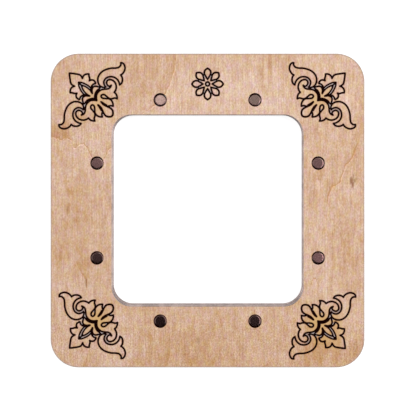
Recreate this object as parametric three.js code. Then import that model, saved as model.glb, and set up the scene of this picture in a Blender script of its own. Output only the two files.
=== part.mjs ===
// Magnetic embroidery frame: two square plywood frames that clamp cloth between them,
// each a laminate of three glued veneers with eight disc magnets set in through holes.
// Units are millimetres. The frame lies flat, +Z is up, and the origin is the centre of
// the underside. The upper frame lifts straight off the lower one along +Z.
import * as THREE from "three";

// Outline of each frame, seen from above
const OUTER_SIDE = 200;
const OUTER_CORNER_RADIUS = 18;
const OPENING_SIDE = 122;
const OPENING_CORNER_RADIUS = 12.5;

// Veneers of the plywood, from the table up
const BACK_VENEER_THICKNESS = 1.3;
const CORE_VENEER_THICKNESS = 1.4;
const FACE_VENEER_THICKNESS = 1.3;

// Disc magnets, and how they sit in the wood
const MAGNET_DIAMETER = 8;
const MAGNET_THICKNESS = 3;
const MAGNET_CHAMFER = 0.35;
const MAGNET_SIDE_CLEARANCE = 0.15; // glue film all round the disc
const MAGNET_SET_BACK = 0.2; // below the face that touches the cloth
const MAGNET_TO_OPENING = 9.5; // from a magnet's centre to the edge of the opening
const MAGNET_SPACING = 60.4; // between the two magnets of one rail
const MAGNETS_PER_RAIL = 2;

// Fineness of the round stretches
const CORNER_STEPS = 8; // to a quarter turn
const ROUND_STEPS = 24; // to a full turn, on magnets and their holes

// The four rails, by the turn that carries the north rail, the one at +Y, onto each
const RAIL_TURNS = { north: 0, west: Math.PI / 2, south: Math.PI, east: -Math.PI / 2 };

const birch = (colour) =>
  new THREE.MeshStandardMaterial({ color: colour, roughness: 0.62, metalness: 0 });

const MATERIALS = {
  faceVeneer: birch(0xd5b194),
  coreVeneer: birch(0xb99273),
  magnet: new THREE.MeshStandardMaterial({ color: 0x6d6461, roughness: 0.32, metalness: 1 }),
};

// The veneers of one frame, from its underside up
const LAYERS = [
  { layer: "back", thickness: BACK_VENEER_THICKNESS, material: MATERIALS.faceVeneer },
  { layer: "core", thickness: CORE_VENEER_THICKNESS, material: MATERIALS.coreVeneer },
  { layer: "face", thickness: FACE_VENEER_THICKNESS, material: MATERIALS.faceVeneer },
];
const FRAME_THICKNESS = LAYERS.reduce((sum, { thickness }) => sum + thickness, 0);

/** Traces a square with rounded corners, centred on the origin, onto a Shape or a Path. */
function traceRoundedSquare(path, side, radius) {
  const half = side / 2;
  const straight = half - radius;
  path.moveTo(straight, -half);
  path.absarc(straight, -straight, radius, -Math.PI / 2, 0);
  path.absarc(straight, straight, radius, 0, Math.PI / 2);
  path.absarc(-straight, straight, radius, Math.PI / 2, Math.PI);
  path.absarc(-straight, -straight, radius, Math.PI, 1.5 * Math.PI);
  path.closePath();
  return path;
}

/** Centres of the magnets of one frame, as { rail, number, x, y }. */
function magnetPlaces() {
  const distance = OPENING_SIDE / 2 + MAGNET_TO_OPENING;
  const places = [];
  for (const [rail, turn] of Object.entries(RAIL_TURNS)) {
    for (let i = 0; i < MAGNETS_PER_RAIL; i++) {
      const along = (i - (MAGNETS_PER_RAIL - 1) / 2) * MAGNET_SPACING;
      const centre = new THREE.Vector2(along, distance).rotateAround(new THREE.Vector2(), turn);
      places.push({ rail, number: i + 1, x: centre.x, y: centre.y });
    }
  }
  return places;
}

/** A magnet hole as a many-sided path whose flats keep the clearance from the disc. */
function magnetHole(x, y) {
  const toFlat = MAGNET_DIAMETER / 2 + MAGNET_SIDE_CLEARANCE;
  const toCorner = toFlat / Math.cos(Math.PI / ROUND_STEPS);
  const points = [];
  for (let i = 0; i < ROUND_STEPS; i++) {
    const angle = (2 * Math.PI * i) / ROUND_STEPS;
    points.push(new THREE.Vector2(x + toCorner * Math.cos(angle), y + toCorner * Math.sin(angle)));
  }
  return new THREE.Path(points);
}

/** Outline of a veneer: the rounded square, its opening and the magnet holes. */
function veneerOutline() {
  const outline = traceRoundedSquare(new THREE.Shape(), OUTER_SIDE, OUTER_CORNER_RADIUS);
  outline.holes.push(traceRoundedSquare(new THREE.Path(), OPENING_SIDE, OPENING_CORNER_RADIUS));
  for (const { x, y } of magnetPlaces()) {
    outline.holes.push(magnetHole(x, y));
  }
  return outline;
}

/** One veneer sheet, lying on z = 0 of its frame until it is placed. */
function makeVeneer(name, thickness, material) {
  const geometry = new THREE.ExtrudeGeometry(veneerOutline(), {
    depth: thickness,
    bevelEnabled: false,
    curveSegments: CORNER_STEPS,
  });
  const veneer = new THREE.Mesh(geometry, material);
  veneer.name = name;
  return veneer;
}

/** A chamfered disc magnet standing on z = 0. */
function makeMagnet(name) {
  const radius = MAGNET_DIAMETER / 2;
  const profile = [
    new THREE.Vector2(0, 0),
    new THREE.Vector2(radius - MAGNET_CHAMFER, 0),
    new THREE.Vector2(radius, MAGNET_CHAMFER),
    new THREE.Vector2(radius, MAGNET_THICKNESS - MAGNET_CHAMFER),
    new THREE.Vector2(radius - MAGNET_CHAMFER, MAGNET_THICKNESS),
    new THREE.Vector2(0, MAGNET_THICKNESS),
  ];
  const geometry = new THREE.LatheGeometry(profile, ROUND_STEPS);
  geometry.rotateX(Math.PI / 2); // the lathe's own axis is Y
  const magnet = new THREE.Mesh(geometry, MATERIALS.magnet);
  magnet.name = name;
  return magnet;
}

/** A whole frame: its veneers, and magnets whose undersides lie at magnetBase. */
function makeFrame(side, magnetBase) {
  const frame = new THREE.Group();
  let top = 0;
  for (const { layer, thickness, material } of LAYERS) {
    const veneer = makeVeneer(`${side}_${layer}_veneer`, thickness, material);
    veneer.position.z = top;
    frame.add(veneer);
    top += thickness;
  }
  for (const { rail, number, x, y } of magnetPlaces()) {
    const magnet = makeMagnet(`${side}_magnet_${rail}_${number}`);
    magnet.position.set(x, y, magnetBase);
    frame.add(magnet);
  }
  return frame;
}

// The lower frame's magnets sit just under its top face, and the upper frame's just above
// its underside, so that each pair is parted only by the cloth and the two set-backs.
const lowerFrame = makeFrame("lower", FRAME_THICKNESS - MAGNET_SET_BACK - MAGNET_THICKNESS);
const upperFrame = makeFrame("upper", MAGNET_SET_BACK);
upperFrame.position.z = FRAME_THICKNESS;

const embroideryFrame = new THREE.Group();
embroideryFrame.add(lowerFrame, upperFrame);

export default embroideryFrame;
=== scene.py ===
"""Dresses the magnetic embroidery frame: birch plywood rings, engraving and disc magnets."""

import math

import bmesh
import bpy
import numpy as np
from bpy.props import FloatProperty, FloatVectorProperty, IntProperty, PointerProperty
from mathutils import Color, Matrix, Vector
from mathutils.geometry import delaunay_2d_cdt


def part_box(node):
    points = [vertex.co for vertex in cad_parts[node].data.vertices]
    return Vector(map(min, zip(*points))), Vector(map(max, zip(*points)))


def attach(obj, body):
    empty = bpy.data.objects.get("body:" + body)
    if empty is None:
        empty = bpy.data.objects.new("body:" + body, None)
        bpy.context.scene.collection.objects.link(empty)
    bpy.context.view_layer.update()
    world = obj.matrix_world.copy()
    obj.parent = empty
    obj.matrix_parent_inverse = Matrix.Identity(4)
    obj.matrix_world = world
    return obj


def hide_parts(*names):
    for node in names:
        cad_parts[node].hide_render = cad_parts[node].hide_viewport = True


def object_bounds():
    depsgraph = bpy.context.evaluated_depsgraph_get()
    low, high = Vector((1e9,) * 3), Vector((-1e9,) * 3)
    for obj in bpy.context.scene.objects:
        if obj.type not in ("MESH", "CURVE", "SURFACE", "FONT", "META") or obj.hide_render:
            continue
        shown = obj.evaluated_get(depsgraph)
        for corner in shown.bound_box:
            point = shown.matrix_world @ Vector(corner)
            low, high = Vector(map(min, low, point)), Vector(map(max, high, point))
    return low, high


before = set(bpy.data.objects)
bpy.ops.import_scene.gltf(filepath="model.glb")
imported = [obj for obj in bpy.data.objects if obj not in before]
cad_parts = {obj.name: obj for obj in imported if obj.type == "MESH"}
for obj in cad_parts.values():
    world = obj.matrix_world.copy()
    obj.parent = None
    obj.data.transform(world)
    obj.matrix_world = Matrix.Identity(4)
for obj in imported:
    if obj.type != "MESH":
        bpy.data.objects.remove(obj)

bl_info = {
    "name": "Magnetic embroidery frame",
    "version": (1, 0, 0),
    "blender": (4, 5, 0),
    "location": "View3D > Sidebar > Embroidery",
    "description": "Builds two engraved plywood rings that disc magnets hold together",
    "category": "Object",
}

CAD_LOW, CAD_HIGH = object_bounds()
MM = 0.001
OUTER_SIDE = CAD_HIGH.x - CAD_LOW.x
TOP = CAD_HIGH.z
RING_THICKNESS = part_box("lower_face_veneer")[1].z
CORE_LOW, CORE_HIGH = (corner.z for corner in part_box("lower_core_veneer"))
SIDES = ("lower", "upper")
RAILS = ("north", "west", "south", "east")


# Sizes and colours that a user would change


def length(name, description, millimetres):
    """A length that a user may set, by its value in millimetres."""
    return FloatProperty(
        name=name, description=description, default=millimetres * MM, unit="LENGTH"
    )


def colour(name, description, *shown):
    """A colour that a user may set, by its values on a screen, 0 to 255."""
    linear = Color([value / 255 for value in shown]).from_srgb_to_scene_linear()
    return FloatVectorProperty(
        name=name, description=description, default=tuple(linear), subtype="COLOR"
    )


class PlywoodSizes(bpy.types.PropertyGroup):
    """Outline of the two plywood rings."""

    outer_corner_radius: length("Outer Corner Radius", "Radius of the board's corners", 18)
    opening_side: length("Opening Side", "Side of the square sewing window", 122)
    opening_corner_radius: length("Opening Corner Radius", "Radius of the window's corners", 12.5)
    arris: length("Arris", "Width of the softened edge where a face meets a wall", 0.22)
    corner_steps: IntProperty(
        name="Corner Steps", description="Stretches that each rounded corner is made of",
        default=40, min=4,
    )


class MagnetSizes(bpy.types.PropertyGroup):
    """The disc magnets and the holes that hold them."""

    diameter: length("Diameter", "Across a disc", 8)
    rounding: length("Rounding", "Radius of a disc's rounded rim", 1.0)
    hole_clearance: length("Hole Clearance", "Gap between a disc and the wall of its hole", 0.15)
    hole_sharpness: FloatProperty(
        name="Hole Sharpness", description="A hole's arris as a share of the outline's",
        default=0.4, subtype="FACTOR",
    )
    to_opening: length("To Opening", "From a disc's centre to the edge of the window", 9.5)
    spacing: length("Spacing", "Between the two discs of one rail", 60.4)
    tilt: FloatProperty(
        name="Tilt", description="Most that a disc leans in its glue",
        default=math.radians(0.8), unit="ROTATION",
    )


class EngravingSizes(bpy.types.PropertyGroup):
    """The burnt-in lines of the ornament."""

    line_width: length("Line Width", "Across a fine line", 0.86)
    bold_width: length("Bold Width", "Across a bold line", 0.92)
    depth: length("Depth", "From the face to the bottom of a line", 0.4)
    slope: length("Slope", "Width of a line's sloping side", 0.3)
    scorch: length("Scorch", "How far the wood beside a line is browned", 0.5)


class Finishes(bpy.types.PropertyGroup):
    """Colours of the wood, the burnt wood and the nickel, and of the painted light and shade on
    them.
    """

    birch_pale: colour("Pale Birch", "The pinkish grey tone of the veneer", 221, 188, 165)
    birch_brown: colour("Brown Birch", "Where the knife crossed summer wood", 201, 158, 121)
    birch_fleck: colour("Birch Fleck", "Bark flecks", 146, 102, 60)
    smoked: colour("Smoked Birch", "Wood that the beam's smoke turned yellow", 212, 172, 112)
    # Cut edges: toasted wood, made paler with painted light
    singed_and_lit: colour("Edge, Singed and Lit", "Cut edge of the outer veneers", 220, 200, 195)
    singed_core_and_lit: colour("Core Edge, Singed and Lit", "Cut edge of the core veneer", 206, 186, 181)
    rim_grey: colour("Rim Grey Birch", "The rim of a face, greyer and darker towards its edge", 165, 146, 140)
    # Also the brown of the painted shade on the magnets' rims
    scorched_and_shade: colour("Birch Scorch and Shade", "Wood browned beside a line", 104, 42, 20)
    # Also the painted shade that blackens the north and south walls of the magnets' holes
    char: colour("Char and Shade", "Burnt wood at the bottom of a line", 22, 3, 1)
    ash: colour("Ash", "Grey ash where burnt lines lie close together", 182, 171, 172)
    # The painted shade on the magnets' rims, black to the north and south
    rim_shade_colour: colour("Rim Shade", "Painted shade on the rim of a magnet", 46, 14, 9)
    nickel: colour("Nickel", "Plating of the magnets", 190, 172, 166)


# Node trees

# Each ramp's start and end, and what it gives below and above these, or else 0 and 1. One of the
# numbers can be set anew where the ramp is used.
RAMPS = {
    # Birch faces
    "before faint ring": (0.62, 1.0),
    "past faint ring": (0.0, 0.10, 1.0, 0.0),
    "where rings show": (0.40, 0.62),
    "small flecks": (0.66, 0.80),
    "ring begins": (0.0, 0.15),
    "ring ends": (0.85, 1.0, 1.0, 0.0),
    "before ring": (-3.0, 0.0),
    "beside ring": (-1.4, 0.0, 0.0, 1.6),
    "uneven ring": (0.3, 0.7, 0.6, 1.4),
    "past ring": (0.0, 1.2, 1.0, 0.0),
    "in patch": (0.35, 1.15, 1.0, 0.0),
    "in fleck": (0.25, 1.2, 1.0, 0.0),
    "pitted south": (-75.0, -55.0, 1.0, 0.0),
    "smoke": (2.0, 12.5, 0.6, 0.0),
    "smoke southward": (-30.0, 30.0, 1.4, 0.92),
    "smoke drift": (0.4, 1.1, 0.5, 0.0),
    "greyer rim": (0.1, 1.3, 0.62, 0.0),
    "window rim": (0.0, 0.5, 0.95, 1.0),
    "hole ring north and south": (0.2, 0.8, 0.42, 0.95),
    "beside hole": (0.05, 0.30, 1.0, 0.0),
    "browned": (0.0, 0.5, 0.0, 0.9),
    "charred": (0.2, 1.0),
    # Cut edges and the walls of the magnets' holes
    "end grain": (0.3, 0.8),
    "end grain shade": (0.0, 1.0, 1.0, 0.64),
    "glue line": (0.03, 0.10, 0.60, 1.0),
    "burn on arris": (0.35, 0.6, 0.62, 0.84),
    "arris": (0.2, 0.5, 1.0),
    "rising corner": (0.15, 0.45, 1.0, 0.72),
    "falling corner": (-0.45, -0.15),
    "falling corner shade": (-0.3, 0.3, 0.88, 1.15),
    "side of hole": (0.5, 0.9),
    "paler side": (-0.2, 0.2, 0.65, 0.30),
    "shaded north and south walls": (0.2, 0.7),
    # Magnets
    "east_highlight": (0.04, 0.3),
    "facing south": (-0.25, -0.03, 1.0, 0.0),
    "rim shade on sides": (-0.15, 0.0, 0.48, 0.08),
    "rim shade north and south": (0.0, 0.3, 0.48, 1.0),
    "leaning": (0.002, 0.03),
    "black rim shade": (0.05, 0.3),
    # Painted reflections on the dim card
    "card northward": (-190.0, 160.0, 0.013, 0.40),
    "card glow": (0.0, 1.0, 1.0, 0.0),
    "card tint": (40.0, 100.0),
}


def in_use(sockets, name=None):
    """The first socket in use, or the first one of that name."""
    return next((s for s in sockets if s.enabled and name in (None, s.name)), None)


class Value:
    """What a node gives. Arithmetic with it adds nodes to its tree."""

    def __init__(self, nodes, socket):
        self.nodes, self.socket = nodes, socket

    def math(self, operation, *others):
        return self.nodes.math(operation, self, *others)

    def __add__(self, other):
        return self.math("ADD", other)

    def __sub__(self, other):
        return self.math("SUBTRACT", other)

    def __rsub__(self, other):
        return self.nodes.math("SUBTRACT", other, self)

    def __mul__(self, other):
        return self.math("MULTIPLY", other)

    def __truediv__(self, other):
        return self.math("DIVIDE", other)

    def __mod__(self, other):
        return self.math("MODULO", other)

    def __pow__(self, other):
        return self.math("POWER", other)

    def __neg__(self):
        return self * -1.0

    def __abs__(self):
        return self.math("ABSOLUTE")

    def __gt__(self, other):
        return self.math("GREATER_THAN", other)

    def __lt__(self, other):
        return self.math("LESS_THAN", other)

    def at_least(self, other):
        return self.math("MAXIMUM", other)

    def at_most(self, other):
        return self.math("MINIMUM", other)

    def size(self):
        """The length of a vector."""
        return self.math("LENGTH")

    def parts(self):
        """The X, Y and Z of a vector."""
        return self.nodes.add("ShaderNodeSeparateXYZ", {"Vector": self}, give=("X", "Y", "Z"))

    def ramp(self, name, **changes):
        """Runs smoothly from low to high as this value goes from start to end."""
        ends = {"low": 0.0, "high": 1.0} | dict(zip(("start", "end", "low", "high"), RAMPS[name]))
        ends |= changes
        inputs = {
            "Value": self, "From Min": ends["start"], "From Max": ends["end"],
            "To Min": ends["low"], "To Max": ends["high"],
        }
        return self.nodes.add("ShaderNodeMapRange", inputs, interpolation_type="SMOOTHSTEP")


class Nodes:
    """Adds nodes to a tree, and links or sets their inputs in the same call."""

    def __init__(self, tree):
        self.tree = tree

    def add(self, kind, inputs=None, give=None, **settings):
        """A new node. Returns its first output, or else those that give names."""
        node = self.tree.nodes.new(kind)
        for name, value in settings.items():
            setattr(node, name, value)
        for key, value in (inputs or {}).items():
            socket = node.inputs[key] if isinstance(key, int) else in_use(node.inputs, key)
            if isinstance(value, Value):
                self.tree.links.new(value.socket, socket)
            elif socket.type == "VECTOR" and isinstance(value, (int, float)):
                socket.default_value = (value,) * 3
            else:
                socket.default_value = value
        if isinstance(give, tuple):
            return [Value(self, in_use(node.outputs, name)) for name in give]
        return Value(self, in_use(node.outputs, give))

    def math(self, operation, *operands):
        """Arithmetic, on vectors if one of the operands is a vector."""
        kind = "ShaderNodeMath"
        for operand in operands:
            socket = getattr(operand, "socket", None)
            if isinstance(operand, tuple) or socket and socket.type == "VECTOR":
                kind = "ShaderNodeVectorMath"
        return self.add(kind, dict(enumerate(operands)), operation=operation)

    def combine(self, x=0.0, y=0.0, z=0.0):
        return self.add("ShaderNodeCombineXYZ", {"X": x, "Y": y, "Z": z})

    def join(self, *parts):
        """Several geometries as one."""
        joined = self.add("GeometryNodeJoinGeometry")
        for part in reversed(parts):
            self.tree.links.new(part.socket, joined.socket.node.inputs[0])
        return joined

    def raised(self, geometry, height):
        inputs = {"Geometry": geometry, "Translation": self.combine(z=height)}
        return self.add("GeometryNodeTransform", inputs)

    def painted(self, geometry, material):
        inputs = {"Geometry": geometry, "Material": material}
        return self.add("GeometryNodeSetMaterial", inputs)

    def end(self, geometry):
        """Ends a Geometry Nodes tree in that geometry, and returns the tree."""
        self.add("NodeGroupOutput", {"Geometry": geometry})
        return self.tree


def geometry_tree(name, **kinds):
    """Nodes of a new Geometry Nodes tree, and the tree's inputs, named there by their kind."""
    tree = bpy.data.node_groups.new(name, "GeometryNodeTree")
    for kind, labels in kinds.items():
        for label in labels:
            tree.interface.new_socket(label, in_out="INPUT", socket_type="NodeSocket" + kind)
    tree.interface.new_socket("Geometry", in_out="OUTPUT", socket_type="NodeSocketGeometry")
    nodes = Nodes(tree)
    return nodes, {s.name: Value(nodes, s) for s in tree.nodes.new("NodeGroupInput").outputs}


def tree_once(name, make):
    """The tree of that name, made the first time that it is asked for."""
    return bpy.data.node_groups.get(name) or make()


# Faces that meet at more than this angle, in degrees, meet in a sharp edge
SHARP_ANGLE = 30


def bake(name, tree, inputs):
    """The mesh that a tree makes with those inputs, as a new object at the origin."""
    holder = bpy.data.objects.new(name + "_holder", bpy.data.meshes.new(name + "_holder"))
    bpy.context.collection.objects.link(holder)
    modifier = holder.modifiers.new("Shape", "NODES")
    modifier.node_group = tree
    sockets = {s.name: s.identifier for s in tree.interface.items_tree if s.in_out == "INPUT"}
    for label, value in inputs.items():
        modifier[sockets[label]] = value
    bpy.context.view_layer.update()
    graph = bpy.context.evaluated_depsgraph_get()
    mesh = bpy.data.meshes.new_from_object(holder.evaluated_get(graph))
    holder.modifiers.clear()
    bpy.data.objects.remove(holder)
    mesh.name = name
    solid = bmesh.new()
    solid.from_mesh(mesh)
    bmesh.ops.recalc_face_normals(solid, faces=solid.faces)
    solid.to_mesh(mesh)
    solid.free()
    mesh.shade_smooth()
    mesh.set_sharp_from_angle(angle=math.radians(SHARP_ANGLE))
    return linked(name, mesh)


def linked(name, data):
    """A new object with that mesh, lamp or camera, in the scene."""
    thing = bpy.data.objects.new(name, data)
    bpy.context.collection.objects.link(thing)
    return thing


# Magnets and their holes

PER_RAIL = 2
RIM_STEPS = 6
MAGNET_SIDES = 72
FIRST_SEED = 4
HOLE_SIDES = 64
# How straight up the flat's faces look, and the second ring on the flat as a share of the first
FLAT_NORMAL = 0.99
FLAT_RING = 0.94
QUARTER_TURN = math.pi / 2


def magnet_places_tree():
    """Points at the magnets' centres, two to a rail, worked out from their index."""
    nodes, given = geometry_tree("Magnet Places", Float=("Distance", "Spacing"))
    index = nodes.add("GeometryNodeInputIndex")
    rail = (index / PER_RAIL).math("FLOOR")
    along = (index % PER_RAIL - 0.5) * given["Spacing"]
    inputs = {"Vector": nodes.combine(along, given["Distance"]), "Angle": rail * QUARTER_TURN}
    place = nodes.add("ShaderNodeVectorRotate", inputs, rotation_type="Z_AXIS")
    return nodes.end(
        nodes.add("GeometryNodePoints", {"Count": PER_RAIL * len(RAILS), "Position": place})
    )


def magnets_tree():
    """Eight discs with rounded rims, each leaning a little in its hole."""
    nodes, given = geometry_tree(
        "Magnets",
        Float=("Diameter", "Thickness", "Rounding", "Distance", "Spacing", "Base", "Tilt"),
        Int=("Seed",),
        Material=("Plating",),
    )
    # A line up the disc's axis, whose points give the rim its quarter rounds
    index = nodes.add("GeometryNodeInputIndex")
    turn = index.at_most(2 * RIM_STEPS - 1 - index) * (QUARTER_TURN / (RIM_STEPS - 1))
    height = (1.0 - turn.math("COSINE")) * given["Rounding"]
    inputs = {"Factor": index > RIM_STEPS - 0.5, "A": height, "B": given["Thickness"] - height}
    z = nodes.add("ShaderNodeMix", inputs, data_type="FLOAT")
    radius = given["Diameter"] / 2 - (1.0 - turn.math("SINE")) * given["Rounding"]
    line = nodes.add("GeometryNodeMeshLine", {"Count": 2 * RIM_STEPS})
    axis = nodes.add("GeometryNodeMeshToCurve", {"Mesh": line})
    inputs = {"Geometry": axis, "Position": nodes.combine(z=z)}
    axis = nodes.add("GeometryNodeSetPosition", inputs)
    inputs = {"Resolution": MAGNET_SIDES, "Radius": 1.0}
    circle = nodes.add("GeometryNodeCurvePrimitiveCircle", inputs)
    inputs = {"Curve": axis, "Profile Curve": circle, "Scale": radius, "Fill Caps": True}
    disc = nodes.add("GeometryNodeCurveToMesh", inputs)
    # A second ring on each flat keeps the flat's shading flat
    _, _, up = nodes.add("GeometryNodeInputNormal").parts()
    inputs = {"Mesh": disc, "Selection": abs(up) > FLAT_NORMAL, "Offset Scale": 0.0}
    ringed, flat = nodes.add("GeometryNodeExtrudeMesh", inputs, give=("Mesh", "Top"))
    inputs = {"Geometry": ringed, "Selection": flat, "Scale": FLAT_RING}
    disc = nodes.add("GeometryNodeScaleElements", inputs)
    # The discs in their places
    inputs = {name: given[name] for name in ("Distance", "Spacing")}
    places = tree_once("Magnet Places", magnet_places_tree)
    points = nodes.add("GeometryNodeGroup", inputs, node_tree=places)
    lean = nodes.combine(given["Tilt"], given["Tilt"], math.pi)
    inputs = {"Min": -lean, "Max": lean, "Seed": given["Seed"]}
    turned = nodes.add("FunctionNodeRandomValue", inputs, data_type="FLOAT_VECTOR")
    inputs = {"Points": points, "Instance": disc, "Rotation": turned}
    placed = nodes.add("GeometryNodeInstanceOnPoints", inputs)
    raised = nodes.raised(placed, given["Base"])
    real = nodes.add("GeometryNodeRealizeInstances", {"Geometry": raised})
    return nodes.end(nodes.painted(real, given["Plating"]))


# Veneers

# Points that lie closer than this are one
WELD = 0.001 * MM
IN_PLANE = (1.0, 1.0, 0.0)


def shaped_outline(nodes, side, radius, steps, grow):
    """A square with round corners, grown all round by grow, which may be negative."""
    side = side + grow * 2
    square = nodes.add("GeometryNodeCurvePrimitiveQuadrilateral", {"Width": side, "Height": side})
    inputs = {"Curve": square, "Count": steps, "Radius": radius + grow}
    return nodes.add("GeometryNodeFilletCurve", inputs, mode="POLY")


def wall_tree():
    """The wall under an outline, with a narrow slope along its upper and lower edge.

    Corner Reach is how far the centres of the corner arcs lie from the middle along X and Y, 0
    for a circle. Outward is 1 where the solid lies inside the outline, and -1 where it lies
    outside.
    """
    nodes, given = geometry_tree(
        "Wall",
        Geometry=("Outline",),
        Float=("Corner Reach", "Outward", "Thickness", "Upper Arris", "Lower Arris"),
    )
    position = nodes.add("GeometryNodeInputPosition")
    reach = nodes.combine(given["Corner Reach"], given["Corner Reach"])
    arc_centre = position.at_least(-reach).at_most(reach)
    away = ((position - arc_centre) * IN_PLANE).math("NORMALIZE")
    away = away * nodes.combine(given["Outward"], given["Outward"])

    def sloped(arris, rise):
        """The step across an arris, for a wall that rises there by 1 or falls by -1."""
        return away * nodes.combine(arris, arris) + nodes.combine(z=arris * rise)

    height = given["Thickness"] - (given["Upper Arris"] + given["Lower Arris"])
    down = nodes.combine(z=-height)
    wall = nodes.add("GeometryNodeCurveToMesh", {"Curve": given["Outline"]})
    newest = True
    for step in (sloped(given["Upper Arris"], -1.0), down, -sloped(given["Lower Arris"], 1.0)):
        inputs = {"Mesh": wall, "Selection": newest, "Offset Scale": 0.0}
        grown, newest = nodes.add(
            "GeometryNodeExtrudeMesh", inputs, give=("Mesh", "Top"), mode="EDGES"
        )
        inputs = {"Geometry": grown, "Selection": newest, "Offset": step}
        wall = nodes.add("GeometryNodeSetPosition", inputs)
    return nodes.end(wall)


def veneer_tree():
    """A sheet with round corners, a square window and eight round holes, as a closed solid."""
    nodes, given = geometry_tree(
        "Veneer",
        Float=(
            "Outer Side", "Outer Corner Radius", "Opening Side", "Opening Corner Radius",
            "Hole Diameter", "Hole Distance", "Hole Spacing", "Hole Sharpness", "Base",
            "Thickness", "Upper Arris", "Lower Arris",
        ),
        Int=("Corner Steps",),
        Object=("Engraving",),
        Material=("Face", "Edge", "Hole Wall"),
    )
    inputs = {"Distance": given["Hole Distance"], "Spacing": given["Hole Spacing"]}
    places = tree_once("Magnet Places", magnet_places_tree)
    points = nodes.add("GeometryNodeGroup", inputs, node_tree=places)
    wall = tree_once("Wall", wall_tree)

    def in_places(hole):
        placed = nodes.add("GeometryNodeInstanceOnPoints", {"Points": points, "Instance": hole})
        return nodes.add("GeometryNodeRealizeInstances", {"Geometry": placed})

    def outlines(arris):
        """The outer outline, the window and one hole, each cut back by its arris."""
        squares = [
            shaped_outline(
                nodes, given[edge + " Side"], given[edge + " Corner Radius"],
                given["Corner Steps"], grow,
            )
            for edge, grow in (("Outer", -arris), ("Opening", arris))
        ]
        radius = given["Hole Diameter"] / 2 + arris * given["Hole Sharpness"]
        inputs = {"Resolution": HOLE_SIDES, "Radius": radius}
        return *squares, nodes.add("GeometryNodeCurvePrimitiveCircle", inputs)

    def filled(*curves):
        return nodes.add("GeometryNodeFillCurve", {"Curve": nodes.join(*curves)})

    def walled(outline, corner_reach, outward, sharpness=1.0):
        inputs = {
            "Outline": outline, "Corner Reach": corner_reach, "Outward": outward,
            "Thickness": given["Thickness"], "Upper Arris": given["Upper Arris"] * sharpness,
            "Lower Arris": given["Lower Arris"] * sharpness,
        }
        return nodes.add("GeometryNodeGroup", inputs, node_tree=wall)

    def reach(edge):
        return given[edge + " Side"] / 2 - given[edge + " Corner Radius"]

    # The lines' own mesh fills its outline, so the face around it leaves that open
    engraving = nodes.add(
        "GeometryNodeObjectInfo", {"Object": given["Engraving"]}, give="Geometry"
    )
    inputs = {"A": nodes.add("GeometryNodeInputMeshEdgeNeighbors"), "B": 1}
    open_edges = nodes.add("FunctionNodeCompare", inputs, data_type="INT", operation="EQUAL")
    rim = nodes.add("GeometryNodeMeshToCurve", {"Mesh": engraving, "Selection": open_edges})
    outer, opening, hole = outlines(given["Upper Arris"])
    upper = nodes.join(filled(outer, opening, in_places(hole), rim), engraving)
    low_outer, low_opening, low_hole = outlines(given["Lower Arris"])
    lower = filled(low_outer, low_opening, in_places(low_hole))
    lower = nodes.raised(lower, -given["Thickness"])
    faces = nodes.painted(nodes.join(upper, lower), given["Face"])
    walls = nodes.join(
        walled(outer, reach("Outer"), 1.0), walled(opening, reach("Opening"), -1.0)
    )
    walls = nodes.painted(walls, given["Edge"])
    hole_walls = in_places(walled(hole, 0.0, -1.0, given["Hole Sharpness"]))
    hole_walls = nodes.painted(hole_walls, given["Hole Wall"])
    inputs = {"Geometry": nodes.join(faces, walls, hole_walls), "Distance": WELD}
    closed = nodes.add("GeometryNodeMergeByDistance", inputs)
    return nodes.end(nodes.raised(closed, given["Base"] + given["Thickness"]))


# Engraving. Its lengths are in millimetres until the mesh is made.

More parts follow.
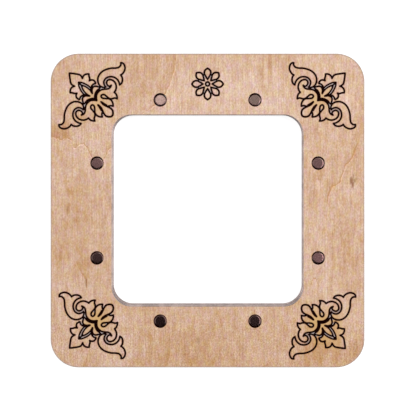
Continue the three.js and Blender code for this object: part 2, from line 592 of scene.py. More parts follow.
# Half of a corner's ornament, mirrored across the corner's diagonal. Each line is a list of
# smooth runs, and two runs that share an end meet there in a point. Every place is how far it
# lies from the board's sharp corner, along the diagonal and to the side of it.
FINE_LINES = {
    "leaf": [
        [(17.2, 0.0), (18.4, 1.05), (20.2, 2.4), (22.1, 3.7), (23.4, 4.05), (25.4, 3.55)],
        [(25.4, 3.55), (24.8, 4.8), (24.85, 6.35), (25.55, 7.65), (26.4, 8.4)],
        [(26.4, 8.4), (27.4, 7.5), (28.8, 6.7), (29.6, 5.65)],
        [(29.6, 5.65), (30.2, 6.95), (31.3, 7.7), (32.5, 7.7), (33.6, 7.2)],
        [(33.6, 7.2), (33.0, 5.9), (33.0, 4.5), (33.5, 3.0)],
    ],
    "sepal": [[(36.4, 1.35), (35.0, 2.5), (34.2, 4.0), (34.4, 5.4), (35.5, 6.4), (37.1, 7.3)]],
    "calyx rim": [[(40.0, 0.0), (38.8, 1.3), (37.9, 2.9), (37.45, 4.7), (37.65, 6.5), (37.4, 8.2)]],
    "calyx": [
        [(41.8, 0.0), (40.2, 1.3), (39.0, 3.0), (38.7, 4.8), (39.0, 6.8), (40.2, 8.6),
         (41.5, 10.2), (42.0, 11.8), (41.5, 13.4)],
    ],
    "curl": [
        [(41.5, 13.4), (41.25, 12.1)],
        [(41.25, 12.1), (39.9, 11.75), (38.4, 12.3), (37.6, 13.7), (38.2, 15.25), (40.1, 16.35),
         (42.3, 16.25), (44.4, 15.05), (45.6, 13.3), (46.0, 11.6)],
        [(46.0, 11.6), (47.4, 11.65), (48.9, 11.1), (50.2, 10.05)],
        [(50.2, 10.05), (48.75, 9.2), (47.9, 7.7), (46.6, 6.6), (44.6, 6.3), (42.7, 6.1),
         (41.6, 4.9), (41.9, 3.85), (43.3, 3.7), (45.0, 5.0), (46.5, 6.3), (48.4, 6.65),
         (50.2, 6.1), (51.7, 4.85)],
        [(51.7, 4.85), (50.4, 3.9), (49.3, 2.2)],
    ],
    "scroll": [
        [(39.9, 10.2), (38.6, 8.7), (36.6, 8.1), (34.5, 8.7), (32.5, 10.3), (31.4, 12.6),
         (31.2, 15.2), (31.95, 17.9), (33.65, 20.9), (35.75, 23.2), (36.8, 25.0), (36.65, 26.8),
         (35.65, 27.85)],
        [(35.65, 27.85), (36.75, 28.6), (38.35, 28.4), (40.05, 27.25), (41.1, 25.3),
         (41.35, 23.5), (41.05, 22.3)],
        [(41.05, 22.3), (42.85, 21.85), (44.45, 20.5), (45.2, 18.9), (45.1, 17.4)],
        [(45.1, 17.4), (43.3, 18.4), (41.0, 18.75), (38.7, 18.1), (36.8, 16.35), (35.95, 14.1),
         (36.5, 11.8), (38.0, 10.6), (39.9, 10.2)],
    ],
}
THIN_LINES = {
    "bud husk": [
        [(25.4, 0.0), (27.1, 1.38), (29.3, 2.3), (31.6, 2.86), (33.7, 2.8), (35.3, 2.2),
         (36.6, 1.25)],
    ],
    "bud": [[(27.9, 0.0), (29.2, 0.7), (30.8, 1.3), (32.7, 1.65), (34.6, 1.6), (36.6, 1.1)]],
}
# How wide thin lines are, as a share of the usual width
THIN_SHARE = 0.87
BOLD_LINES = {
    "husk tip": [[(26.5, 0.0), (28.9, 0.0)]],
    "petal root": [[(44.4, 1.4), (46.3, 1.8), (48.4, 2.3)]],
    "middle petal": [
        [(44.7, 1.35), (46.7, 1.25), (48.8, 1.85), (51.0, 2.65), (52.9, 2.8), (54.4, 2.05),
         (55.4, 0.95), (55.7, 0.0)],
    ],
}
# The roundel on the north rail: eight outlined petals round a small ring
ROUNDEL_FROM_EDGE = 19.4
PETALS = 8
PETAL_HALF = [[(3.0, 0.0), (4.5, 0.95), (6.6, 2.05), (8.5, 1.75), (10.0, 0.0)]]
EYE_RADIUS = 1.25
EYE_POINTS = 96
# How far the engraver set each corner's ornament off its true place, anticlockwise from the
# north-east corner
CORNER_SHIFTS = ((-0.25, -0.38), (-0.19, -0.38), (0.0, 0.25), (-0.19, 0.0))

FIELD_STEP = 0.1
FIELD_MARGIN = 4 * FIELD_STEP
SAMPLE_STEP = 0.1
LOOP_STRIDE = 4
# Points between the loops lie this many field steps apart, and this far in height from a loop
GRID_STRIDE = 5
LOOP_CLEARANCE = 0.8 * FIELD_STEP
# Triangles only inside the outline, and how close two points are taken for one
INSIDE_ONLY = 1
SAME_POINT = 1e-4
# Scorching at a line's edge, a third of its reach away, and at its reach
BURNT = (1.0, 0.32, 0.0)
# How far round a place the lines count, in field steps, and from what share of cut wood ash lies
ASH_REACH = 12
ASH_CROWDING = (0.47, 0.64)
# The diagonal from the corner at +X +Y, in degrees, and the way from one corner to the next
FIRST_DIAGONAL = 225
CORNER_TURN = 90


def smooth_run(places):
    """Closely spaced points along a smooth curve through the given ones."""
    p = np.array(places, float)
    steps = np.diff(p, axis=0)
    gaps = np.linalg.norm(steps, axis=1)[:, None]
    chords = steps / gaps
    slopes = np.repeat(chords[:1], len(p), axis=0)
    if len(p) > 2:
        slopes[1:-1] = (p[2:] - p[:-2]) / (gaps[1:] + gaps[:-1])
        for end, beside in ((0, 1), (-1, -2)):
            slopes[end] = 1.5 * chords[end] - 0.5 * slopes[beside]
    stretches = []
    for start, end, leaving, arriving, (gap,) in zip(p, p[1:], slopes, slopes[1:], gaps):
        t = np.linspace(0, 1, max(2, math.ceil(gap / SAMPLE_STEP)), endpoint=False)[:, None]
        bend = t * (1 - t)
        stretches.append(
            start + (end - start) * t * t * (3 - 2 * t)
            + gap * bend * ((1 - t) * leaving - t * arriving)
        )
    return np.vstack([*stretches, p[-1:]])


def mirrored_samples(runs):
    """Points along those runs and along their mirror image."""
    half = np.vstack([smooth_run(run) for run in runs])
    return np.vstack([half, half * (1, -1)])


def turning(angle):
    """What turns rows of X and Y anticlockwise."""
    return np.array([[math.cos(angle), math.sin(angle)], [-math.sin(angle), math.cos(angle)]])


def roundel_samples():
    """Points along the roundel's petals and ring, about its own centre."""
    petal = mirrored_samples(PETAL_HALF)
    petals = [petal @ turning(number * 2 * math.pi / PETALS) for number in range(PETALS)]
    around = np.linspace(0, 2 * math.pi, EYE_POINTS, endpoint=False)
    eye = EYE_RADIUS * np.stack([np.cos(around), np.sin(around)], 1)
    return np.vstack([*petals, eye])


def line_field(strokes, margin):
    """Distance to the edge of the nearest line on a square grid, less than 0 inside the line.

    strokes is a list of pairs, points along lines and half the lines' width.
    """
    everywhere = np.vstack([points for points, _ in strokes])
    border = margin + max(half_width for _, half_width in strokes) + 2 * FIELD_STEP
    low = everywhere.min(0) - border
    counts = np.ceil((everywhere.max(0) + border - low) / FIELD_STEP).astype(int) + 1
    field = np.full(counts, margin)
    for points, half_width in strokes:
        reach = math.ceil((margin + half_width) / FIELD_STEP)
        for point in points:
            middle = np.round((point - low) / FIELD_STEP).astype(int)
            first = np.maximum(middle - reach, 0)
            last = np.minimum(middle + reach + 1, counts)
            across = low[0] + np.arange(first[0], last[0]) * FIELD_STEP - point[0]
            along = low[1] + np.arange(first[1], last[1]) * FIELD_STEP - point[1]
            window = field[first[0]:last[0], first[1]:last[1]]
            np.minimum(window, np.hypot(across[:, None], along) - half_width, out=window)
    return field, low


def level_loops(field, low, level):
    """The closed loops along which the field has that level."""
    high = field > level
    count = high.astype(int)
    count = count[:-1, :-1] + count[1:, :-1] + count[1:, 1:] + count[:-1, 1:]
    after = {}
    for i, j in np.argwhere((count > 0) & (count < 4)).tolist():
        corners = ((i, j), (i + 1, j), (i + 1, j + 1), (i, j + 1))
        falls, rises = [], []
        for a, b in zip(corners, corners[1:] + corners[:1]):
            if high[a] != high[b]:
                (falls if high[a] else rises).append((min(a, b), max(a, b)))
        after.update(zip(falls, rises))
    loops = []
    while after:
        start, edge = after.popitem()
        loop = [start]
        while edge != start:
            loop.append(edge)
            edge = after.pop(edge)
        a, b = np.array(loop).transpose(1, 0, 2)
        from_a = (level - field[tuple(a.T)]) / (field[tuple(b.T)] - field[tuple(a.T)])
        loops.append(low + (a + (b - a) * from_a[:, None]) * FIELD_STEP)
    return loops


def read_field(field, low, places):
    """The field at places between the grid's points."""
    at = (places - low) / FIELD_STEP
    cell = np.clip(np.floor(at).astype(int), 0, np.array(field.shape) - 2)
    x, y = (at - cell).T
    i, j = cell.T
    return (field[i, j] * (1 - x) * (1 - y) + field[i + 1, j] * x * (1 - y)
            + field[i, j + 1] * (1 - x) * y + field[i + 1, j + 1] * x * y)


def crowding(field):
    """How much of the square round each of the field's points is cut away, 0 to 1."""
    cut = (field < 0).astype(float)
    for _ in field.shape:
        total = np.cumsum(np.pad(cut, ((ASH_REACH, ASH_REACH), (0, 0)), mode="edge"), axis=0)
        cut = (total[2 * ASH_REACH:] - total[:-2 * ASH_REACH]).T / (2 * ASH_REACH)
    return cut


def engrave(strokes, sizes):
    """Places, triangles, scorching and ash of a patch of face with those lines cut into it."""
    slope, scorch, depth = (value / MM for value in (sizes.slope, sizes.scorch, sizes.depth))
    levels = (-slope, -slope / 2, 0.0, scorch / 3, scorch)
    field, low = line_field(strokes, scorch + FIELD_MARGIN)
    places, edges = [], []
    for level in levels:
        for loop in level_loops(field, low, level):
            if len(loop) < 3 * LOOP_STRIDE:
                continue
            first = len(places)
            places.extend(loop[::LOOP_STRIDE].tolist())
            ring = range(first, len(places))
            edges.extend(zip(ring, [*ring[1:], first]))
    # Points between the loops let the scorching fade in narrow gaps between lines
    grid = np.argwhere(field < scorch - FIELD_STEP)
    grid = grid[(grid % GRID_STRIDE == 0).all(1)]
    value = field[tuple(grid.T)]
    clear = np.min([abs(value - level) for level in levels], axis=0) > LOOP_CLEARANCE
    places.extend((low + grid[clear & (value > 0)] * FIELD_STEP).tolist())
    flat, _, triangles, *_ = delaunay_2d_cdt(places, edges, [], INSIDE_ONLY, SAME_POINT)
    flat = np.array([tuple(v) for v in flat])
    distance = read_field(field, low, flat)
    inside = np.clip(-distance / slope, 0, 1)
    sunk = -depth * inside * inside * (3 - 2 * inside)
    burnt = np.interp(distance, (0.0, scorch / 3, scorch), BURNT)
    burnt[distance > scorch - FIELD_STEP] = 0.0
    ash = np.interp(read_field(crowding(field), low, flat), ASH_CROWDING, (0.0, 1.0))
    return np.column_stack([flat, sunk]), np.array(triangles), burnt, ash


def engraving_object(sizes):
    """A mesh of all engraved patches, in metres, with the untouched face at height 0."""
    fine, bold = sizes.line_width / MM / 2, sizes.bold_width / MM / 2
    strokes = [
        (mirrored_samples(run for line in lines.values() for run in line), half_width)
        for lines, half_width in (
            (FINE_LINES, fine), (THIN_LINES, fine * THIN_SHARE), (BOLD_LINES, bold),
        )
    ]
    corner = engrave(strokes, sizes)
    roundel = engrave([(roundel_samples(), fine)], sizes)
    half_side = OUTER_SIDE / MM / 2
    patches = []
    for quarter, shift in enumerate(CORNER_SHIFTS):
        turn = turning(math.radians(FIRST_DIAGONAL + CORNER_TURN * quarter))
        patches.append((turn, -math.sqrt(2) * half_side * turn[0] + shift, corner))
    patches.append((np.eye(2), np.array([0.0, half_side - ROUNDEL_FROM_EDGE]), roundel))
    places, triangles, burnt, ash = [], [], [], []
    for turn, origin, (points, faces, scorching, ashes) in patches:
        triangles.append(faces + sum(len(p) for p in places))
        places.append(np.column_stack([points[:, :2] @ turn + origin, points[:, 2]]))
        burnt.append(scorching)
        ash.append(ashes)
    mesh = bpy.data.meshes.new("engraving")
    mesh.from_pydata((np.vstack(places) * MM).tolist(), [], np.vstack(triangles).tolist())
    for name, values in (("scorch", burnt), ("ash", ash)):
        attribute = mesh.attributes.new(name, "FLOAT", "POINT")
        attribute.data.foreach_set("value", np.concatenate(values))
    return linked("engraving", mesh)


# Materials. Their patterns are in millimetres.

NOWHERE = (0.0, 0.0, 0.0)
# Each noise's swells per millimetre along X, Y and Z, its detail and its roughness, and how far
# it is moved
NOISES = {
    # Birch faces
    "jagged": ((0.13, 0.035, 1.0), 3.0, 0.5, (5.0, 1.0, 0.0)),
    "broad": ((0.022, 0.012, 1.0), 2.0, 0.5, NOWHERE),
    "mottle": ((0.26, 0.11, 1.0), 3.0, 0.6, NOWHERE),
    "cloud": ((0.75, 0.42, 1.0), 2.0, 0.6, (7.0, 3.0, 0.0)),
    "swell": ((0.011, 0.0042, 1.0), 2.0, 0.4, (3.1, 7.7, 0.0)),
    "patchy": ((0.03, 0.02, 1.0), 2.0, 0.5, (9.0, 2.0, 0.0)),
    "fleck": ((0.85, 0.30, 1.0), 2.0, 0.5, NOWHERE),
    "spots": ((0.10, 0.05, 1.0), 1.0, 0.5, (6.0, 0.0, 0.0)),
    "teeth": ((0.55, 0.10, 1.0), 2.0, 0.6, (1.0, 4.0, 0.0)),
    "fibre": ((3.4, 0.22, 1.0), 3.0, 0.6, NOWHERE),
    "pores": ((1.25, 0.78, 1.0), 2.0, 0.65, NOWHERE),
    "streak": ((1.05, 0.05, 1.0), 2.0, 0.55, NOWHERE),
    "pitted": ((1.5, 1.1, 1.0), 1.0, 0.5, (8.0, 2.0, 0.0)),
    "hue": ((0.42, 0.22, 1.0), 3.0, 0.6, (2.0, 8.0, 0.0)),
    "warmth": ((0.34, 0.18, 1.0), 3.0, 0.6, (4.0, 6.0, 0.0)),
    # Cut edges and the walls of the magnets' holes
    "edge_pores": ((3.2, 3.2, 3.2), 3.0, 0.6, NOWHERE),
    "long_fibre": ((0.5, 0.5, 6.0), 3.0, 0.55, NOWHERE),
    "marks": ((2.6, 2.6, 0.15), 2.0, 0.5, NOWHERE),
    "blotch": ((0.07, 0.07, 0.1), 2.0, 0.5, NOWHERE),
    "licks": ((0.15, 0.15, 0.04), 4.0, 0.6, (4.0, 2.0, 0.0)),
    # Magnets
    "pits": ((3.0, 3.0, 3.0), 4.0, 0.65, NOWHERE),
    "bloom": ((0.35, 0.35, 0.35), 2.0, 0.5, NOWHERE),
    "specks": ((1.4, 1.4, 1.4), 2.0, 0.7, (3.0, 5.0, 1.0)),
}
NOISE_MIDDLE = 0.5


def opaque(colour):
    """A plain colour with its alpha, or a node's as it is."""
    return colour if isinstance(colour, Value) else (*colour, 1.0)


class Surface(Nodes):
    """A material under construction."""

    def __init__(self, name):
        self.material = bpy.data.materials.new(name)
        self.material.use_nodes = True
        super().__init__(self.material.node_tree)
        self.tree.nodes.clear()
        self.place = self.add("ShaderNodeTexCoord", give="Object") * (1 / MM)
        self.noises = {}

    def noise(self, name):
        """Noise from 0 to 1."""
        if name not in self.noises:
            swells, detail, roughness, moved = NOISES[name]
            inputs = {
                "Vector": self.place * swells + moved, "Scale": 1.0, "Detail": detail,
                "Roughness": roughness,
            }
            self.noises[name] = self.add("ShaderNodeTexNoise", inputs, give="Fac")
        return self.noises[name]

    def swing(self, name):
        return self.noise(name) - NOISE_MIDDLE

    def varied(self, middle, **amounts):
        """A middle value and what each noise adds to it at most or takes off."""
        for name, amount in amounts.items():
            middle = self.swing(name) * (amount / NOISE_MIDDLE) + middle
        return middle

    def mixed(self, first, second, share, **settings):
        """Two colours mixed, all of the second where share is 1."""
        inputs = {"Factor": share, "A": opaque(first), "B": opaque(second)}
        return self.add("ShaderNodeMix", inputs, data_type="RGBA", **settings)

    def shaded(self, colour, factor):
        """A colour made darker or lighter by a factor."""
        grey = self.combine(factor, factor, factor)
        return self.mixed(colour, grey, 1.0, blend_type="MULTIPLY")

    def attribute(self, name):
        return self.add("ShaderNodeAttribute", attribute_name=name, give="Fac")

    def normal(self):
        """The X, Y and Z of the surface's normal."""
        return self.add("ShaderNodeNewGeometry", give="Normal").parts()

    def past_line(self, axis, points):
        """Distance past a wavy line that runs along an axis, and the share of its run there."""
        x, y, _ = self.place.parts()
        along, across = (x, y) if axis == "X" else (y, x)
        (start, *_, end), rises = zip(*points)
        low, high = min(rises), max(rises)
        inputs = {"Value": along, "From Min": start, "From Max": end}
        share = self.add("ShaderNodeMapRange", inputs)
        curve = self.add("ShaderNodeFloatCurve", {"Value": share})
        mapping = curve.socket.node.mapping
        line = mapping.curves[0].points
        while len(line) < len(points):
            line.new(0, 0)
        for point, (run, rise) in zip(line, points):
            point.location = ((run - start) / (end - start), (rise - low) / (high - low))
            point.handle_type = "AUTO_CLAMPED"
        mapping.update()
        return across - curve.math("MULTIPLY_ADD", high - low, low), share

    def oval_distance(self, middle, half_sizes):
        """Distance from a place on the face, as a share of an upright oval's size there."""
        shares = (1 / half_sizes[0], 1 / half_sizes[1], 0.0)
        return ((self.place - (*middle, 0.0)) * shares).size()

    def outline_distance(self, side, radius):
        """Distance out from the edge of a round-cornered square, less than 0 inside it."""
        reach = (side / 2 - radius) / MM
        past = (abs(self.place) - (reach, reach, 0.0)).at_least(NOWHERE) * IN_PLANE
        return past.size() - radius / MM

    def hole_distance(self, magnets, opening_side):
        """Distance from the edge of the nearest magnet hole, and the share of it along Y."""
        x, y, _ = abs(self.place).parts()
        near = magnets.spacing / MM / 2
        far = (opening_side / 2 + magnets.to_opening) / MM
        swapped = (y > x) * (far - near)
        off_y = y - (swapped + near)
        distance = self.combine(x - (far - swapped), off_y).size()
        radius = magnets.diameter / 2 + magnets.hole_clearance
        return distance - radius / MM, abs(off_y) / distance

    def finish(self, colour, roughness, specular, bump=None, height=0.0, **others):
        """Ends the material in one Principled shader, and returns it.

        height is how high the bump rises, in millimetres.
        """
        if bump:
            relief = {"Height": bump, "Strength": 1.0, "Distance": height * MM}
            others["Normal"] = self.add("ShaderNodeBump", relief)
        inputs = {"Roughness": roughness, "Specular IOR Level": specular, **others}
        inputs["Base Color"] = opaque(colour)
        shader = self.add("ShaderNodeBsdfPrincipled", inputs)
        self.add("ShaderNodeOutputMaterial", {"Surface": shader})
        return self.material


# The figure of the top face, in millimetres from its middle. A growth ring comes to the surface
# along a wavy line: the axis that it runs along, the side of the other axis that is pale, how far
# the wood is browned on the other side, how much it is browned and how much it is paled, and how
# far along and across its points lie.
GROWTH_RINGS = (
    ("X", -1.0, 5.0, 0.45, 1.0, (
        (-110.0, 46.0), (-100.0, 46.4), (-95.7, 46.0), (-93.4, 45.0), (-90.9, 46.2), (-88.6, 45.8),
        (-86.4, 44.4), (-84.6, 39.5), (-82.6, 41.4), (-80.2, 42.1), (-77.8, 41.0), (-75.8, 37.9),
        (-74.2, 34.7), (-71.0, 31.0), (-68.0, 30.5), (-65.8, 32.6), (-64.2, 35.8), (-62.6, 39.0),
        (-50.0, 45.0),
    )),
    ("Y", 1.0, 3.0, 0.52, 1.0, (
        (3.0, 76.2), (7.1, 76.8), (11.5, 78.0), (15.1, 80.0),
        (17.5, 84.0), (20.7, 85.2), (24.7, 86.8), (28.3, 88.0), (31.5, 90.8), (34.7, 93.2),
        (40.6, 95.1),
    )),
    ("Y", 1.0, 1.6, 0.20, 0.0, (
        (36.0, 93.8), (40.6, 95.1), (48.0, 97.4), (54.0, 98.0), (64.0, 98.6),
    )),
    ("Y", 1.0, 7.0, 0.35, 1.0, (
        (50.0, -52.0), (61.0, -42.0), (63.9, -38.0), (67.1, -33.7), (74.4, -26.8), (78.7, -24.7),
        (83.0, -23.1), (88.3, -21.5), (93.6, -20.4), (98.9, -19.9), (110.0, -19.6),
    )),
    ("Y", -1.0, 2.4, 0.42, 0.15, (
        (-50.5, -77.2), (-48.5, -77.3), (-45.4, -77.5), (-42.7, -78.8), (-40.6, -80.2),
        (-37.5, -81.8), (-34.7, -83.0), (-31.0, -83.8),
    )),
    ("X", -1.0, 1.8, 0.55, 0.6, (
        (64.2, -57.0), (65.3, -51.5), (66.4, -46.3), (67.6, -43.6), (68.6, -43.4), (69.8, -46.0),
        (70.6, -49.0), (71.8, -57.0),
    )),
)
BROWN_PATCHES = (
    ((-10.0, -86.0), (38.0, 17.0), 0.42),
    ((-5.0, -67.0), (26.0, 8.0), 0.35),
    # A brown strip that darkens the face along its south edge
    ((0.0, -98.0), (80.0, 6.0), 0.16),
    ((-80.0, -36.0), (8.0, 12.0), 0.34),
    ((-92.0, -27.0), (7.0, 8.0), 0.35),
    ((89.0, -40.0), (14.0, 30.0), 0.42),
    ((72.0, -58.0), (10.0, 8.0), 0.25),
    ((-89.0, 11.5), (5.0, 4.0), 0.45),
    ((-89.3, 1.5), (2.2, 7.0), 0.32),
    ((-93.0, 51.0), (9.0, 6.0), 0.55),
    ((-86.0, 62.0), (16.0, 9.0), 0.25),
    ((-96.0, 34.0), (5.0, 7.0), 0.25),
    ((79.5, 17.0), (4.5, 3.4), 0.50),
    ((-36.0, 84.0), (18.0, 20.0), 0.20),
    ((74.0, -90.0), (26.0, 12.0), 0.30),
    ((73.0, -79.0), (16.0, 17.0), 0.55),
    ((35.0, 89.5), (1.6, 16.0), 0.48),
    ((39.6, 90.5), (1.8, 15.0), 0.66),
    ((90.0, -92.0), (12.0, 10.0), 0.22),
    ((40.0, -85.0), (26.0, 20.0), 0.15),
    ((-76.0, 56.0), (10.0, 10.0), 0.16),
    ((-59.6, -93.3), (5.0, 5.0), 0.35),
    ((98.4, -21.3), (2.5, 5.0), 0.35),
    ((36.5, 77.0), (3.0, 4.0), 0.25),
    ((-69.0, -69.0), (10.0, 10.0), 0.30),
)
PALE_PATCHES = (
    ((10.0, 70.0), (66.0, 26.0), 0.44),
    ((77.0, 12.0), (16.0, 26.0), 0.34),
    ((91.0, 80.0), (13.0, 24.0), 0.34),
)
FLECKS = (
    ((-89.1, 0.6), (1.1, 3.0), 0.32),
    ((-91.4, -5.7), (1.2, 1.3), 0.30),
    ((-77.3, -46.2), (0.8, 3.4), 0.62),
    ((91.8, 18.9), (1.5, 2.8), 0.85),
    ((92.5, 16.6), (1.1, 3.2), 0.80),
    ((93.6, 18.9), (1.2, 1.5), 0.60),
    ((95.0, 20.3), (1.2, 1.1), 0.35),
    ((92.8, 21.7), (0.7, 2.4), 0.35),
    ((-6.1, -82.6), (2.0, 2.6), 0.40),
    ((91.5, 5.0), (1.0, 4.0), 0.25),
    ((-46.0, 76.0), (2.0, 6.0), 0.18),
)
# Middle of the yellow haze among a corner's lines, from the face's middle, and the middle and
# half sizes of what drifted off to the south-east
SMOKE_MIDDLE = (70.5, 70.5)
SMOKE_DRIFT = ((76.0, -76.0), (15.0, 15.0))
# The wood's usual tone, how much the faint rings brown and pale it, and how much of a small
# fleck shows
BIRCH_TONE = 0.36
FAINT_BROWN = 0.3
FAINT_PALE = 0.25
SMALL_FLECK = 0.30
# Wood is never paler or browner than this. Under 0, it is paler than the pale tone.
TONE_RANGE = (-0.4, 1.2)
# How much lighter wood is just past a ring, and how deep the pits of the south rail are
LIGHTER = 0.22
PIT_DEPTH = 0.8
# Dark fibres are browner than pale ones, so they hold back less of the red
HELD_BACK = (0.82, 1.12, 1.25)
ASH_SHARE = 0.85
# How much the grain shows on a cut edge
EDGE_GRAIN = 0.4


def figured(wood, tone, pale, fleck):
    """The tone, paleness and flecks of the top face, with its own rings and patches."""
    for axis, side, reach, strength, paled, points in GROWTH_RINGS:
        past, share = wood.past_line(axis, points)
        step = wood.varied(past * side, teeth=1.3)
        ends = share.ramp("ring begins") * share.ramp("ring ends")
        near = step.ramp("before ring", start=-reach) + step.ramp("beside ring")
        near = near * wood.noise("spots").ramp("uneven ring")
        before = step < 0.0
        tone = tone + near * before * strength * ends
        pale = pale.at_least(step.ramp("past ring", low=paled) * (1.0 - before) * ends)
    for patches, sign in ((BROWN_PATCHES, 1.0), (PALE_PATCHES, -1.0)):
        for middle, half_sizes, strength in patches:
            ragged = wood.varied(wood.oval_distance(middle, half_sizes), jagged=0.7)
            tone = tone + ragged.ramp("in patch", low=sign * strength)
    for middle, half_sizes, strength in FLECKS:
        ragged = wood.varied(wood.oval_distance(middle, half_sizes), cloud=0.6)
        fleck = fleck.at_least(ragged.ramp("in fleck", low=strength))
    return tone, pale, fleck


def birch_face(scene, name):
    """Sanded birch veneer with its grain along Y, browned beside each cut."""
    colours, plywood = scene.finishes, scene.plywood
    engraved = name.startswith("Engraved")
    wood = Surface(name)
    tone = wood.varied(BIRCH_TONE, broad=0.9, mottle=0.92, cloud=0.68)
    # Faint rings wherever the sheet cuts a slow swell of the log. Wood darkens slowly towards
    # each ring, and starts again pale beyond it.
    part = wood.varied(0.0, swell=3.2, jagged=0.10).math("FRACT")
    patchy = wood.noise("patchy").ramp("where rings show")
    tone = tone + part.ramp("before faint ring") * patchy * FAINT_BROWN
    pale = part.ramp("past faint ring") * patchy * FAINT_PALE
    fleck = wood.noise("fleck").ramp("small flecks") * SMALL_FLECK
    if engraved:
        tone, pale, fleck = figured(wood, tone, pale, fleck)
    lowest, highest = TONE_RANGE
    tone = tone.at_least(lowest).at_most(highest)
    colour = wood.mixed(colours.birch_pale, colours.birch_brown, tone, clamp_factor=False)
    colour = wood.shaded(colour, pale * LIGHTER + 1.0)
    colour = wood.mixed(colour, colours.birch_fleck, fleck)
    # Pores and fibres, all drawn out along the grain
    fibre = wood.noise("fibre")
    shade = wood.varied(1.0, fibre=0.22, pores=0.44, streak=0.30)
    _, y, _ = wood.place.parts()
    shade = shade + wood.swing("pitted") * PIT_DEPTH * y.ramp("pitted south")
    red, green, blue = (shade ** held for held in HELD_BACK)
    green = green * wood.varied(1.0, hue=0.24)
    blue = blue * wood.varied(1.0, warmth=0.52)
    colour = wood.mixed(colour, wood.combine(red, green, blue), 1.0, blend_type="MULTIPLY")
    if engraved:
        # The draught carried more smoke to the south, and most of all to the east there
        off = (abs(wood.place) - (*SMOKE_MIDDLE, 0.0)) * IN_PLANE
        haze = wood.varied(off.size(), mottle=6.0).ramp("smoke") * y.ramp("smoke southward")
        drift = wood.varied(wood.oval_distance(*SMOKE_DRIFT), jagged=0.5)
        haze = haze.at_least(drift.ramp("smoke drift"))
        colour = wood.mixed(colour, colours.smoked, haze)
    outer = -wood.outline_distance(OUTER_SIDE, plywood.outer_corner_radius)
    opening = wood.outline_distance(plywood.opening_side, plywood.opening_corner_radius)
    hole, along = wood.hole_distance(scene.magnets, plywood.opening_side)
    # The face turns greyer and darker towards its outer edge
    colour = wood.mixed(colour, colours.rim_grey, outer.ramp("greyer rim"))
    colour = wood.shaded(colour, opening.ramp("window rim"))
    # Browned beside each hole, and darker to its north and south with painted shade
    ring = along.ramp("hole ring north and south") * hole.ramp("beside hole")
    browned = ring.at_least(wood.attribute("scorch"))
    brown = colours.scorched_and_shade
    if engraved:
        # Narrow strips between lines are grey with ash
        strips = wood.attribute("ash") * ASH_SHARE
        colour = wood.mixed(colour, colours.ash, strips)
        brown = wood.mixed(brown, colours.ash, strips)
    colour = wood.mixed(colour, brown, browned.ramp("browned"))
    colour = wood.mixed(colour, colours.char, browned.ramp("charred"))
    rough = wood.varied(0.60, fibre=0.08)
    return wood.finish(colour, rough, specular=0.02, bump=fibre, height=0.03)


def cut_edge(name, colour, grain_turns):
    """The wall that the beam leaves: toasted wood made paler with painted light, with the marks of
    the cut up and down it, and painted light and shade at its corners.

    grain_turns says that the veneer's grain runs along X instead of Y.
    """
    wood = Surface(name)
    x, y, z = wood.normal()
    end_grain = abs(x if grain_turns else y).ramp("end grain")
    shade = wood.varied(1.0, marks=0.14, blotch=0.24, licks=0.62)
    inputs = {"Factor": end_grain, "A": wood.noise("long_fibre"), "B": wood.noise("edge_pores")}
    fine = wood.add("ShaderNodeMix", inputs, data_type="FLOAT")
    shade = shade + (fine - NOISE_MIDDLE) * EDGE_GRAIN
    shade = shade * end_grain.ramp("end grain shade")
    # Glue shows as a thin brown line above and below the core of each ring
    _, _, height = wood.place.parts()
    core_middle, core_half = (CORE_HIGH + CORE_LOW) / 2 / MM, (CORE_HIGH - CORE_LOW) / 2 / MM
    off_glue = abs(height % (RING_THICKNESS / MM) - core_middle) - core_half
    shade = shade * abs(off_glue).ramp("glue line")
    shade = shade * abs(z).ramp("arris", high=wood.noise("licks").ramp("burn on arris"))
    # Painted shade darkens corners that face north-east or south-west; on the other diagonal,
    # painted light lightens corners that face north-west and painted shade darkens those facing
    # south-east
    cornering = x * y
    shade = shade * cornering.ramp("rising corner")
    shade = shade * cornering.ramp("falling corner", low=y.ramp("falling corner shade"))
    toned = wood.shaded(colour, shade)
    return wood.finish(toned, roughness=0.75, specular=0.15, bump=fine, height=0.05)


def burnt_hole(scene):
    """A magnet's hole wall: brown, with painted shade blackening its north and south sides."""
    colours = scene.finishes
    wood = Surface("Burnt Hole")
    x, y, _ = wood.normal()
    # Painted light makes the east and west sides paler, most of all the east one
    sides = abs(x).ramp("side of hole") * x.ramp("paler side")
    colour = wood.mixed(colours.scorched_and_shade, colours.singed_and_lit, sides)
    # Painted shade turns the north and south sides black
    colour = wood.mixed(colour, colours.char, abs(y).ramp("shaded north and south walls"))
    colour = wood.shaded(colour, wood.varied(1.0, marks=0.2))
    return wood.finish(colour, roughness=0.8, specular=0.0)


# How much painted highlight lightens the nickel on the rim's east side and where it faces
# south, and how much less painted shade lies there
EAST_HIGHLIGHT_GAIN = 0.72
EAST_LESS_SHADE = 0.36
SOUTH_LIGHTER = 0.7
SOUTH_LESS_SHADE = 0.065
# What the rim's painted shade adds to the nickel's roughness
RIM_SHADE_ROUGHNESS = 0.3


